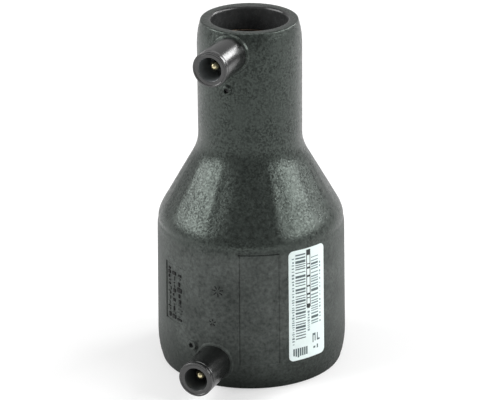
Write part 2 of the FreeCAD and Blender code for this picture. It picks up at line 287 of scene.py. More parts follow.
def cone_ripple(azimuth, z):
    """The slight flutes that cooling leaves along the cone, strongest at its middle."""
    middle = (SHOULDER_Z + NECK_Z) / 2
    away = abs(z - middle) / (NECK_Z - SHOULDER_Z)
    if away > FLUTE_REACH:
        return 0.0
    turn = math.radians(azimuth)
    wander = FLUTE_WANDER * math.sin(z * WANDER_PACE)
    flutes = sum(
        strength * math.sin(count * turn + start + share * wander)
        for count, start, strength, share in FLUTES
    )
    return FLUTE_DEPTH * flutes * (1 - (away / FLUTE_REACH) ** 2) ** 2


def ramp(distance):
    """0 outside an edge and 1 inside it, over the width of a moulded edge."""
    t = min(max(distance / EDGE_RAMP + 0.5, 0.0), 1.0)
    return t * t * (3 - 2 * t)


def relief(azimuth, z):
    """How far the moulded fields sink the large barrel's surface."""
    sunk = 0.0
    for middle, width, low, high, depth, lines in (FIELD, PANEL):
        across = math.radians(azimuth - middle) * LARGE_RADIUS
        from_edges = (across + width / 2, width / 2 - across, z - low, high - z)
        if min(from_edges) < -EDGE_HOLD:
            continue
        sunk += depth * math.prod(ramp(distance) for distance in from_edges)
        for distance, line in zip(from_edges, lines):
            near = max(1 - abs(distance) / EDGE_LINE, 0.0)
            if min(from_edges) > -EDGE_LINE:
                sunk += line * MM * near * near * (3 - 2 * near)
    return sunk


def edge_lines(edge):
    """The grid lines that hold one moulded edge."""
    half, line = EDGE_RAMP / 2, EDGE_LINE
    return [edge + offset for offset in (-EDGE_HOLD, -line, -half, 0.0, half, line, EDGE_HOLD)]


def spaced(low, high, step):
    """Values from low to high, both included, as near to the step apart as fits."""
    count = max(round((high - low) / step), 1)
    return [low + (high - low) * i / count for i in range(count + 1)]


def merged(lines, closest):
    """Sorted lines, without those that come closer than the smallest step."""
    kept = []
    for line in sorted(lines):
        if not kept or line - kept[-1] > closest:
            kept.append(line)
    return kept


def body_azimuths():
    """The upright lines of the body's grid, close together along the fields' edges."""
    lines = spaced(0.0, FULL_TURN, AZIMUTH_STEP)[:-1]
    for middle, width, *_ in (FIELD, PANEL):
        for side in (-1, 1):
            edge = math.radians(middle) * LARGE_RADIUS + side * width / 2
            lines += [arc_degrees(line) for line in edge_lines(edge)]
    return merged(lines, CLOSEST_AZIMUTHS)


def body_heights():
    """The level lines of the body's grid, closer at the shoulder and the fields' edges."""
    lines = spaced(RIM_ROUND, LENGTH - RIM_ROUND, HEIGHT_STEP)
    lines += spaced(SHOULDER_Z - 6.0 * MM, SHOULDER_Z + 2.0 * MM, SHOULDER_STEP)
    for low, high in (FIELD[2:4], PANEL[2:4]):
        lines += edge_lines(low) + edge_lines(high)
    inner = [line for line in lines if RIM_ROUND < line < LENGTH - RIM_ROUND]
    return merged([RIM_ROUND] + inner + [LENGTH - RIM_ROUND], CLOSEST_HEIGHTS)


def rim_round(mouth_radius, mouth_z, inwards):
    """The rounded outer edge of a mouth, from its side to its face."""
    steps = 6
    rows = []
    for step in range(1, steps + 1):
        angle = math.pi / 2 * step / steps
        radius = mouth_radius - RIM_ROUND * (1 - math.cos(angle))
        rows.append((radius, mouth_z + inwards * RIM_ROUND * (1 - math.sin(angle))))
    return rows


def bell_mouth(bore_radius, mouth_z):
    """The eased edge that leads into the small socket."""
    steps = 8
    rows = []
    for step in range(steps + 1):
        angle = math.pi / 2 * step / steps
        radius = bore_radius + SMALL_MOUTH_CHAMFER * (1 - math.sin(angle))
        rows.append((radius, mouth_z - SMALL_MOUTH_HEIGHT * (1 - math.cos(angle))))
    return rows


def coil_rows(low, high, turns):
    """Heights that follow the grooves of a coil closely."""
    pitch = (high - low) / turns
    return spaced(low - GROOVE_WIDTH, high + GROOVE_WIDTH, pitch / GROOVE_ROWS)


def groove(azimuth, z, coil):
    """How deep the wall is cut for the turn that passes nearest."""
    low, high, turns = coil
    pitch = (high - low) / turns
    turn = (azimuth - TERMINAL_AZIMUTH) % FULL_TURN / FULL_TURN
    along = min(max(round((z - low) / pitch - turn), 0), turns - 1)
    away = abs(z - low - pitch * (along + turn)) / (GROOVE_WIDTH / 2)
    return GROOVE_DEPTH * max(1 - away**4, 0.0)


def bore_rows(radius, mouth_z, stop_z, coil):
    """Radius, height and coil of the rows of one socket's wall."""
    low, high = sorted((mouth_z, stop_z))
    rows = [low] + [z for z in coil_rows(*coil) if low < z < high] + [high]
    if mouth_z > stop_z:
        rows.reverse()
    return [(radius, z, coil) for z in rows]


def ring(bm, row, azimuths):
    """One closed ring of vertices. A row is a radius and a height, and what shapes it."""
    radius, z, *kind = row
    verts = []
    for azimuth in azimuths:
        r = radius
        if kind and kind[0] == "outer":
            r -= relief(azimuth, z) + cone_ripple(azimuth, z)
        elif kind:
            r += groove(azimuth, z, kind[0])
        verts.append(bm.verts.new(on_axis(azimuth, r, z)))
    return verts


def bridge(bm, rings, closed):
    """Quads from each ring to the next, and from the last to the first where closed."""
    pairs = list(zip(rings, rings[1:]))
    if closed:
        pairs.append((rings[-1], rings[0]))
    for a, b in pairs:
        for i in range(len(a)):
            j = (i + 1) % len(a)
            bm.faces.new((a[i], a[j], b[j], b[i]))


def capped(bm, rings):
    """Rings bridged to a closed form, with a face over the first and the last."""
    bridge(bm, rings, closed=False)
    bm.faces.new(rings[0])
    bm.faces.new(rings[-1])


def new_piece(name, bm, materials, sharp=35.0):
    """A smooth-shaded piece that rides on the part's one body."""
    bmesh.ops.recalc_face_normals(bm, faces=bm.faces)
    mesh = bpy.data.meshes.new(name)
    bm.to_mesh(mesh)
    bm.free()
    for material in materials:
        mesh.materials.append(material)
    mesh.polygons.foreach_set("use_smooth", [True] * len(mesh.polygons))
    mesh.set_sharp_from_angle(angle=math.radians(sharp))
    piece = bpy.data.objects.new(name, mesh)
    bpy.context.scene.collection.objects.link(piece)
    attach(piece, "root")
    return piece


def lathe(bm, profile, segments, placement):
    """A closed outline of (radius, height) turned about +Z, then placed."""
    rings = []
    for radius, height in profile:
        if radius < 1e-9:
            rings.append([bm.verts.new(placement @ Vector((0, 0, height)))])
            continue
        row = []
        for i in range(segments):
            angle = math.tau * i / segments
            spot = Vector((radius * math.cos(angle), radius * math.sin(angle), height))
            row.append(bm.verts.new(placement @ spot))
        rings.append(row)
    for a, b in zip(rings, rings[1:] + rings[:1]):
        for i in range(segments):
            j = (i + 1) % segments
            corners = [a[i % len(a)], a[j % len(a)], b[j % len(b)], b[i % len(b)]]
            corners = list(dict.fromkeys(corners))
            if len(corners) > 2:
                bm.faces.new(corners)


def rounded(corners, steps=4):
    """An outline of (radius, height, round) corners with each round drawn in."""
    outline = []
    count = len(corners)
    for i, (r, h, size) in enumerate(corners):
        here = Vector((r, h))
        if not size:
            outline.append((r, h))
            continue
        before = Vector(corners[i - 1][:2]) - here
        after = Vector(corners[(i + 1) % count][:2]) - here
        start = here + before.normalized() * size
        end = here + after.normalized() * size
        for step in range(steps + 1):
            t = step / steps
            spot = start * (1 - t) ** 2 + here * 2 * t * (1 - t) + end * t * t
            outline.append((spot.x, spot.y))
    return outline


def radial_placement(azimuth, radius, height):
    """The matrix that lays +Z outwards at an azimuth, from a point at a radius."""
    out = on_axis(azimuth, 1.0, 0.0)
    turn = out.to_track_quat("Z", "Y").to_matrix().to_4x4()
    return Matrix.Translation(on_axis(azimuth, radius, height)) @ turn


def conforming_pad(bm, azimuth, height, rings):
    """A low round form that follows the barrel: rings of (distance out, lift)."""
    segments = 72
    centre = on_axis(azimuth, 1.0, 0.0)
    side = Vector((-centre.y, centre.x, 0.0))
    rows = []
    for distance, lift in rings:
        row = []
        for i in range(segments):
            angle = math.tau * i / segments
            across, up = distance * math.cos(angle), distance * math.sin(angle)
            z = height + up
            radius = outer_radius(z) + lift
            out = math.sqrt(max(radius**2 - across**2, 0.0))
            row.append(bm.verts.new(centre * out + side * across + Vector((0, 0, z))))
        rows.append(row)
    capped(bm, rows)


def pad_rings():
    """A terminal's pad, from its middle out: flat, eased over its edge, and into the wall."""
    edge = BOSS_RADIUS
    flat = [(edge * share, BOSS_HEIGHT) for share in (0.3, 0.6, 0.8)]
    eased = [
        (edge - 0.5 * MM, BOSS_HEIGHT),
        (edge - 0.25 * MM, BOSS_HEIGHT * 0.96),
        (edge - 0.08 * MM, BOSS_HEIGHT * 0.8),
        (edge, BOSS_HEIGHT * 0.5),
        (edge + 0.06 * MM, BOSS_HEIGHT * 0.2),
        (edge + 0.25 * MM, 0.0),
        (edge + 0.3 * MM, -0.3 * MM),
    ]
    return flat + eased


def collar(bm, azimuth, height, barrel_radius):
    """An indicator's collar: a rounded rim round a blind hole."""
    profile = rounded([
        (COLLAR_HOLE, -1.0 * MM, 0),
        (COLLAR_RADIUS + 0.35 * MM, -1.0 * MM, 0),
        (COLLAR_RADIUS + 0.3 * MM, -0.1 * MM, 0),
        (COLLAR_RADIUS + 0.02 * MM, 0.2 * MM, 0.2 * MM),
        (COLLAR_RADIUS - 0.03 * MM, COLLAR_HEIGHT, 0.42 * MM),
        (COLLAR_HOLE, COLLAR_HEIGHT, 0.22 * MM),
    ])
    lathe(bm, profile, 48, radial_placement(azimuth, barrel_radius, height))


def body_piece(outside, socket_wall):
    """The moulding: its outside and both sockets as one skin, with pads and collars."""
    azimuths = body_azimuths()
    rows = [(outer_radius(z), z, "outer") for z in body_heights()]
    rows += rim_round(outer_radius(LENGTH - RIM_ROUND), LENGTH, -1)
    first_inner = len(rows)
    rows += bell_mouth(SMALL_BORE_RADIUS, LENGTH)
    small_stop = LENGTH - SMALL_SOCKET_DEPTH
    inner_top = LENGTH - SMALL_MOUTH_HEIGHT - 0.1 * MM
    rows += bore_rows(SMALL_BORE_RADIUS, inner_top, small_stop, SMALL_COIL)
    rows += [(SMALL_PASSAGE_RADIUS, small_stop), (LARGE_PASSAGE_RADIUS, LARGE_SOCKET_DEPTH)]
    large_rows = bore_rows(LARGE_BORE_RADIUS, LARGE_MOUTH_CHAMFER, LARGE_SOCKET_DEPTH, LARGE_COIL)
    rows += reversed(large_rows)
    last_inner = len(rows)
    rows += [(LARGE_BORE_RADIUS + LARGE_MOUTH_CHAMFER, 0.0)]
    rows += reversed(rim_round(outer_radius(RIM_ROUND), 0.0, 1))
    bm = bmesh.new()
    bridge(bm, [ring(bm, row, azimuths) for row in rows], closed=True)
    # Each row makes one band of faces, so the rows of the sockets tell which are inside; those take
    # the socket material, whose paler colour is painted light in the bores
    for face in list(bm.faces)[first_inner * len(azimuths):last_inner * len(azimuths)]:
        face.material_index = 1
    for z in (LARGE_TERMINAL_Z, SMALL_TERMINAL_Z):
        conforming_pad(bm, TERMINAL_AZIMUTH, z, pad_rings())
    for indicator in (LARGE_INDICATOR, SMALL_INDICATOR):
        collar(bm, *indicator)
    body = new_piece("reducer_moulding", bm, (outside, socket_wall))
    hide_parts("reducer_body")


def panel_marks(materials):
    """Plain raised bars in the sunk panel, in three uneven upright ranks."""
    draw = random.Random(23)
    middle, _, low, high, depth, _ = PANEL
    bm = bmesh.new()
    for rank, widths in PANEL_RANKS:
        z = low + 1.3 * MM
        while z < high - 2.4 * MM:
            tall = draw.uniform(0.5, 2.2) * MM
            wide = draw.choice(widths) * MM
            centre = middle + arc_degrees((rank + draw.uniform(-0.4, 0.4)) * MM)
            before = len(bm.faces)
            raised_bar(bm, centre, wide, z, min(tall, high - 1.2 * MM - z), depth)
            # Painted shade: a share of the bars takes the darker dull material
            dull = draw.random() < PAINTED_SHADE_SHARE
            for face in list(bm.faces)[before:]:
                face.material_index = int(dull)
            z += tall + draw.uniform(0.35, 1.0) * MM
    new_piece("panel_bars", bm, materials)


def mould_marks(material):
    """Two plain wheels of short raised strokes beside the field."""
    bm = bmesh.new()
    for azimuth, height, reach, strokes in MOULD_MARKS:
        for i in range(strokes):
            turn = math.tau * i / strokes + 0.3
            along = Vector((math.cos(turn), math.sin(turn)))
            side = Vector((-along.y, along.x))
            rows = []
            for inset, lift in ((0.0, -0.15 * MM), (0.1 * MM, 0.2 * MM)):
                near = MARK_HUB * reach + inset
                far = reach - inset
                half = MARK_WIDTH / 2 - inset
                row = []
                for out, over in ((near, -half), (far, -half), (far, half), (near, half)):
                    spot = along * out + side * over
                    z = height + spot.y
                    corner = on_axis(azimuth + arc_degrees(spot.x), outer_radius(z) + lift, z)
                    row.append(bm.verts.new(corner))
                rows.append(row)
            capped(bm, rows)
    # The strokes take the darker dull material, painted shade
    new_piece("mould_marks", bm, (material,))


def raised_bar(bm, azimuth, wide, low, tall, depth):
    """A small bar that stands on a sunk panel's floor, with sloping sides."""
    slope = 0.18 * MM
    foot = -depth - 0.1 * MM
    rows = []
    for inset, lift in ((0.0, foot), (slope, 0.1 * MM)):
        half = arc_degrees(wide / 2 - inset)
        start = low + inset
        end = low + tall - inset
        row = []
        for side, z in ((-1, start), (1, start), (1, end), (-1, end)):
            spot = on_axis(azimuth + side * half, outer_radius(z) + lift, z)
            row.append(bm.verts.new(spot))
        rows.append(row)
    capped(bm, rows)


def shroud_piece(name, node, barrel_radius, height, materials):
    """An insulating sleeve with a fine line round its mouth and another behind it."""
    line = SHROUD_LENGTH - 1.7 * MM
    outside = SHROUD_RADIUS - 0.05 * MM
    lip = outside - SHROUD_LIP
    profile = rounded([
        (SHROUD_HOLE, 0.2 * MM, 0),
        (outside, 0.2 * MM, 0),
        (outside, line - 0.45 * MM, 0.06 * MM),
        (outside - 0.16 * MM, line - 0.22 * MM, 0.05 * MM),
        (outside, line, 0.06 * MM),
        (outside, SHROUD_LENGTH, 0.32 * MM),
        (lip, SHROUD_LENGTH, 0.08 * MM),
        (lip - 0.16 * MM, SHROUD_LENGTH - 0.18 * MM, 0.06 * MM),
        (lip - 0.32 * MM, SHROUD_LENGTH - 0.1 * MM, 0.1 * MM),
        (SHROUD_BORE, SHROUD_LENGTH - 0.16 * MM, 0.2 * MM),
        (SHROUD_BORE - 0.05 * MM, SHROUD_FLOOR, 0.5 * MM),
        (SHROUD_HOLE, SHROUD_FLOOR, 0),
    ])
    bm = bmesh.new()
    placement = radial_placement(TERMINAL_AZIMUTH, barrel_radius - SHROUD_SEAT, height)
    lathe(bm, profile, 96, placement)
    # The inner faces take the second material, whose paler colour is painted light in the hole
    back = placement.inverted()
    for face in bm.faces:
        spot = back @ face.calc_center_median()
        if spot.xy.length < SHROUD_BORE + 0.05 * MM and spot.z > 1.0 * MM:
            face.material_index = 1
    piece = new_piece(name, bm, materials, sharp=50.0)
    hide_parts(node)


def pin_piece(name, node, barrel_radius, height, material):
    """A turned contact with a domed tip, on a stem through the shroud's floor."""
    tip = SHROUD_LENGTH - PIN_RECESS
    profile = [
        (0.0, -1.0 * MM),
        (PIN_STEM, -1.0 * MM),
        (PIN_STEM, SHROUD_FLOOR - 0.1 * MM),
        (PIN_RADIUS, SHROUD_FLOOR + 0.02 * MM),
        (PIN_RADIUS, tip - PIN_DOME),
    ]
    steps = 10
    for step in range(1, steps):
        angle = math.pi / 2 * step / steps
        profile.append((PIN_RADIUS * math.cos(angle), tip - PIN_DOME * (1 - math.sin(angle))))
    profile.append((0.0, tip))
    bm = bmesh.new()
    lathe(bm, profile, 48, radial_placement(TERMINAL_AZIMUTH, barrel_radius - SHROUD_SEAT, height))
    piece = new_piece(name, bm, (material,), sharp=50.0)
    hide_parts(node)


def tube(bm, path, radius, sides=10):
    """A round wire along a path of points."""
    rings = []
    for i, spot in enumerate(path):
        ahead = (path[min(i + 1, len(path) - 1)] - path[max(i - 1, 0)]).normalized()
        out = Vector((spot.x, spot.y, 0.0)).normalized()
        side = ahead.cross(out)
        if side.length < 0.3:
            side = ahead.cross(Vector((0, 0, 1)))
        side.normalize()
        up = side.cross(ahead)
        row = []
        for k in range(sides):
            angle = math.tau * k / sides
            row.append(bm.verts.new(spot + (side * math.cos(angle) + up * math.sin(angle)) * radius))
        rings.append(row)
    capped(bm, rings)


def coil_path(radius, coil):
    """Points of a helix that starts and ends at the terminals' azimuth."""
    low, high, turns = coil
    path = []
    for i in range(turns * WIRE_STEPS + 1):
        turn = i / WIRE_STEPS
        height = low + (high - low) * turn / turns
        path.append(on_axis(TERMINAL_AZIMUTH + FULL_TURN * turn, radius, height))
    return path


def wire_piece(material):
    """One wire: a lead, the large coil, the link inside the wall, the small coil, a lead."""
    behind = WIRE_DEPTH + WIRE_RADIUS
    lead_in = (LARGE_RADIUS - LEAD_DEPTH, LARGE_TERMINAL_Z)
    lead_out = (SMALL_RADIUS - LEAD_DEPTH, SMALL_TERMINAL_Z)
    link = (
        (LARGE_BORE_RADIUS + LINK_DEPTH, LARGE_COIL[1] + LINK_EASE),
        (LARGE_BORE_RADIUS + LINK_DEPTH, LARGE_SOCKET_DEPTH + 1.5 * MM),
        (SMALL_BORE_RADIUS + LINK_DEPTH, NECK_Z + 2.7 * MM),
        (SMALL_BORE_RADIUS + LINK_DEPTH, SMALL_COIL[0] - LINK_EASE),
    )
    path = [on_axis(TERMINAL_AZIMUTH, *lead_in)]
    path += coil_path(LARGE_BORE_RADIUS + behind, LARGE_COIL)
    path += [on_axis(TERMINAL_AZIMUTH, *spot) for spot in link]
    path += coil_path(SMALL_BORE_RADIUS + behind, SMALL_COIL)
    path.append(on_axis(TERMINAL_AZIMUTH, *lead_out))
    bm = bmesh.new()
    tube(bm, path, WIRE_RADIUS)
    piece = new_piece("wound_wire", bm, (material,), sharp=60.0)
    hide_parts("heating_wire")


def bent_sheet(bm, rows, columns, foot, face):
    """A thin closed sheet round the barrel, from one height over it to another.

    A row is a height, and where it starts and ends from the label's middle. The sheet
    follows the barrel's straight line, so it bridges the crease below the shoulder."""
    layers = []
    for lift in (foot, face):
        grid = []
        for z, left, right in rows:
            line = []
            for i in range(columns + 1):
                across = left + (right - left) * i / columns
                azimuth = LABEL_AZIMUTH + arc_degrees(across)
                line.append(bm.verts.new(on_axis(azimuth, barrel_line(z) + lift, z)))
            grid.append(line)
        for a, b in zip(grid, grid[1:]):
            for i in range(columns):
                bm.faces.new((a[i], a[i + 1], b[i + 1], b[i]))
        layers.append(grid)
    low, high = layers
    last = len(rows) - 1
    border = [(0, i) for i in range(columns + 1)]
    border += [(k, columns) for k in range(1, last + 1)]
    border += [(last, i) for i in range(columns - 1, -1, -1)]
    border += [(k, 0) for k in range(last - 1, 0, -1)]
    for (k, i), (m, j) in zip(border, border[1:] + border[:1]):
        bm.faces.new((low[k][i], low[m][j], high[m][j], high[k][i]))


def label_half_width(z):
    """Half the label's width at a height, less where its corners are round."""
    into = min(z - LABEL_LOW, LABEL_HIGH - z)
    if into >= LABEL_CORNER:
        return LABEL_WIDTH / 2
    drop = LABEL_CORNER - max(into, 0.0)
    return LABEL_WIDTH / 2 - LABEL_CORNER + math.sqrt(max(LABEL_CORNER**2 - drop**2, 0.0))


def label_piece(material):
    """The label as a thin sheet bent round the barrel, with rounded corners."""
    corner_rows = [LABEL_CORNER * (1 - math.cos(math.radians(a))) for a in range(0, 91, 10)]
    heights = [LABEL_LOW + row for row in corner_rows]
    heights += spaced(LABEL_LOW + LABEL_CORNER, LABEL_HIGH - LABEL_CORNER, LABEL_STEP)[1:-1]
    heights += [LABEL_HIGH - row for row in reversed(corner_rows)]
    rows = [(z, -label_half_width(z), label_half_width(z)) for z in heights]
    bm = bmesh.new()
    bent_sheet(bm, rows, LABEL_COLUMNS, 0.0, LABEL_FACE)
    piece = new_piece("label_sheet", bm, (material,), sharp=50.0)
    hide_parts("data_label")


def print_patch(bm, left, right, low, high):
    """A thin printed rectangle on the label. Left and right count from its left edge."""
    columns = max(round((right - left) / PATCH_WIDTH), 1)
    start = left - LABEL_WIDTH / 2
    end = right - LABEL_WIDTH / 2
    rows = [(z, start, end) for z in spaced(low, high, PATCH_HEIGHT)]
    bent_sheet(bm, rows, columns, PRINT_FOOT, PRINT_FACE)


def bar_ladder(light, heavy, draw, left, right, low, high, often):
    """Level bars down a column. Every few bars a thick one goes to the heavy mesh."""
    z = high
    until_thick = 2
    while z > low:
        thick = until_thick == 0
        tall = (draw.uniform(0.9, 1.25) if thick else draw.choice((0.42, 0.5, 0.65))) * MM
        print_patch(heavy if thick else light, left, right, z - tall, z)
        z -= tall + draw.choice((0.55, 0.7, 0.8, 1.15)) * MM
        until_thick = draw.choice(often) if thick else until_thick - 1


def strip_blocks(bm, draw, left, right, low, high):
    """A dark strip that leaves a column of pale blocks free."""
    side = 0.36 * MM
    print_patch(bm, left, left + side, low, high)
    print_patch(bm, right - side, right, low, high)
    z = high - 2.6 * MM
    print_patch(bm, left + side, right - side, z, high)
    while z > low + 3.0 * MM:
        z -= draw.choice((1.1, 2.9, 3.8, 4.6)) * MM
        bar = draw.choice((0.45, 0.7, 0.9)) * MM
        print_patch(bm, left + side, right - side, max(z - bar, low), z)
        z -= bar
    print_patch(bm, left + side, right - side, low, low + 1.6 * MM)


def label_print(dark, middle, pale):
    """Generic print: ladders of bars, a dark strip with pale blocks, and rows of dashes."""
    draw = random.Random(5)
    light, heavy, strip, fine = (bmesh.new() for _ in range(4))
    bar_ladder(light, heavy, draw, 3.2 * MM, 8.2 * MM, 21.5 * MM, 61.0 * MM, (3, 4, 5))
    bar_ladder(fine, light, draw, 11.2 * MM, 15.2 * MM, 27.0 * MM, 58.3 * MM, (6, 8))
    strip_blocks(strip, draw, 8.7 * MM, 10.85 * MM, 35.6 * MM, 62.2 * MM)
    for left, right, low, high, tall, gap in DASH_COLUMNS:
        z = low * MM
        while z < high * MM:
            length = tall * draw.choice((0.7, 1.0, 1.5)) * MM
            inset = draw.choice((0.0, 0.0, 0.25)) * MM
            print_patch(fine, left * MM + inset, right * MM - inset / 2, z, z + length)
            z += length + gap * draw.choice((0.8, 1.0, 1.6)) * MM
    # Seven short bars at the foot, and plain blocks over them
    for i in range(7):
        left = (1.9 + 1.06 * i) * MM
        lift = draw.choice((0.0, 0.5, 0.9)) * MM
        print_patch(heavy, left, left + 0.74 * MM, 13.4 * MM + lift, 17.6 * MM)
    for left, right, low, high in BLOCKS:
        print_patch(heavy, left * MM, right * MM, low * MM, high * MM)
    new_piece("label_bars", light, (middle,))
    new_piece("label_heavy_bars", heavy, (middle,))
    new_piece("label_strip", strip, (dark,))
    new_piece("label_dashes", fine, (pale,))


def node_of(tree, kind, **inputs):
    """A new node with numbers in its named sockets."""
    node = tree.nodes.new(kind)
    for name, value in inputs.items():
        node.inputs[name.replace("_", " ")].default_value = value
    return node


def surface(name, base, roughness, metallic=0.0):
    """A new material, its node tree and its main shader."""
    material = bpy.data.materials.new(name)
    material.use_nodes = True
    tree = material.node_tree
    shader = tree.nodes["Principled BSDF"]
    shader.inputs["Base Color"].default_value = (*base, 1.0)
    shader.inputs["Roughness"].default_value = roughness
    shader.inputs["Metallic"].default_value = metallic
    return material, tree, shader


def mapped(tree, value, start, end, low, high, smooth=False):
    """A value's range from start to end taken to low to high, in a line or a smooth step."""
    node = node_of(tree, "ShaderNodeMapRange", From_Min=start, From_Max=end, To_Min=low, To_Max=high)
    if smooth:
        node.interpolation_type = "SMOOTHSTEP"
    tree.links.new(value, node.inputs["Value"])
    return node.outputs["Result"]


def combined(tree, operation, a, b):
    """The sum, product or larger of two values, or of a value and a number."""
    node = tree.nodes.new("ShaderNodeMath")
    node.operation = operation
    tree.links.new(a, node.inputs[0])
    if isinstance(b, float):
        node.inputs[1].default_value = b
    else:
        tree.links.new(b, node.inputs[1])
    return node.outputs[0]


def grain(tree, shader, base, spread, scales, bump, roughness_range):
    """Mottled colour and a grained surface for a shader.

    Returns the values that more can be made of: the object's own place, the coarse
    and the finest noise, the mottled colour and the roughness."""
    link = tree.links.new
    place = tree.nodes.new("ShaderNodeTexCoord").outputs["Object"]
    noises = []
    for scale, detail in zip(scales, NOISE_DETAIL):
        noise = node_of(tree, "ShaderNodeTexNoise", Scale=scale, Detail=detail)
        link(place, noise.inputs["Vector"])
        noises.append(noise.outputs["Fac"])
    coarse, fine, pits = noises
    tone = combined(tree, "MULTIPLY", combined(tree, "ADD", coarse, fine), 0.5)
    ramp_node = tree.nodes.new("ShaderNodeValToRGB")
    low, high = ramp_node.color_ramp.elements
    low.position, high.position = 0.32, 0.68
    low.color = (*[c * (1 - spread) for c in base], 1.0)
    high.color = (*[c * (1 + spread) for c in base], 1.0)
    link(tone, ramp_node.inputs["Fac"])
    colour = ramp_node.outputs["Color"]
    link(colour, shader.inputs["Base Color"])
    roughness = mapped(tree, fine, 0.35, 0.65, *roughness_range)
    link(roughness, shader.inputs["Roughness"])
    relief_node = node_of(tree, "ShaderNodeBump", Strength=bump, Distance=GRAIN_DEPTH)
    link(combined(tree, "ADD", fine, pits), relief_node.inputs["Height"])
    link(relief_node.outputs["Normal"], shader.inputs["Normal"])
    return place, coarse, pits, colour, roughness


def grained(name, base, roughness, spread, scales, bump, roughness_range, specular=0.5, metallic=0.0):
    """A material with a mottled colour and a grained surface."""
    material, tree, shader = surface(name, base, roughness, metallic)
    shader.inputs["Specular IOR Level"].default_value = specular
    grain(tree, shader, base, spread, scales, bump, roughness_range)
    return material


def polyethylene():
    """The body's black: specks of gloss above, and a duller large barrel whose paler colour is painted
    reflection, darkened towards the floor by painted shade.
    """
    base = (0.0165, 0.0195, 0.0175)
    barrel_painted_reflection = (3.9, 3.6, 3.8, 1.0)
    barrel_roughness = 0.16
    bright, dull = 0.74, 0.2
    edge_share, barrel_share, foot_share = 0.25, 0.34, 0.45
    material, tree, shader = surface("black polyethylene", base, 0.4)
    link = tree.links.new
    shader.inputs["Specular Tint"].default_value = (0.86, 1.0, 0.91, 1.0)
    place, coarse, pits, colour, roughness = grain(
        tree, shader, base, 0.58, (70.0, 620.0, 1150.0), 0.38, (0.27, 0.41))

    split = tree.nodes.new("ShaderNodeSeparateXYZ")
    link(place, split.inputs[0])
    height = split.outputs["Z"]
    on_barrel = mapped(tree, height, PALE_TOP + PALE_EDGE, PALE_TOP - PALE_EDGE, 0.0, 1.0)
    # 0 at the floor and 1 above the painted shade at the foot
    clear_of_foot_shade = mapped(tree, height, 0.0, FOOT_SHADE_REACH, 0.0, 1.0)
    # Painted reflection: the barrel's colour is made paler, and less so towards the floor as painted
    # shade
    paler = tree.nodes.new("ShaderNodeMix")
    paler.data_type = "RGBA"
    paler.blend_type = "MULTIPLY"
    link(combined(tree, "MULTIPLY", on_barrel, clear_of_foot_shade), paler.inputs["Factor"])
    link(colour, paler.inputs["A"])
    paler.inputs["B"].default_value = barrel_painted_reflection
    link(paler.outputs["Result"], shader.inputs["Base Color"])
    rougher = mapped(tree, on_barrel, 0.0, 1.0, 0.0, barrel_roughness)
    link(combined(tree, "ADD", roughness, rougher), shader.inputs["Roughness"])

    # The gloss is pitted where the slow noise is high, and only a share of it is left at
    # grazing angles, on the barrel and near the floor, where the cut is painted shade
    pit = mapped(tree, pits, 0.62, 0.36, 0.0, bright - dull)
    pitted = combined(tree, "MULTIPLY", pit, mapped(tree, coarse, 0.38, 0.58, 0.35, 1.0))
    gloss = mapped(tree, pitted, 0.0, 1.0, bright, bright - 1.0)
    edge = tree.nodes.new("ShaderNodeLayerWeight").outputs["Facing"]
    for less in (
        mapped(tree, edge, 0.7, 0.98, 1.0, edge_share),
        mapped(tree, on_barrel, 0.0, 1.0, 1.0, barrel_share),
        mapped(tree, clear_of_foot_shade, 0.0, 0.6, foot_share, 1.0),
    ):
        gloss = combined(tree, "MULTIPLY", gloss, less)
    link(gloss, shader.inputs["Specular IOR Level"])
    return material


def seen_directly(tree):
    """1 for what the camera, gloss and glass see, and 0 for what only lights."""
    rays = tree.nodes.new("ShaderNodeLightPath").outputs
    seen = combined(tree, "MAXIMUM", rays["Is Camera Ray"], rays["Is Glossy Ray"])
    return combined(tree, "MAXIMUM", seen, rays["Is Transmission Ray"])


def floor():
    """A pale floor with a glow that is seen and lights nothing, so that it looks white."""
    bpy.ops.mesh.primitive_plane_add(size=8.0, location=(0.0, 0.0, 0.0))
    plane = bpy.context.object
    plane.name = "studio_floor"
    material, tree, shader = surface("studio floor", FLOOR_COLOUR, 1.0)
    link = tree.links.new
    shader.inputs["Specular IOR Level"].default_value = 0.0
    glow = tree.nodes.new("ShaderNodeEmission")
    link(combined(tree, "MULTIPLY", seen_directly(tree), FLOOR_GLOW), glow.inputs["Strength"])
    both = tree.nodes.new("ShaderNodeAddShader")
    link(shader.outputs[0], both.inputs[0])
    link(glow.outputs[0], both.inputs[1])
    link(both.outputs[0], tree.nodes["Material Output"].inputs["Surface"])
    plane.data.materials.append(material)


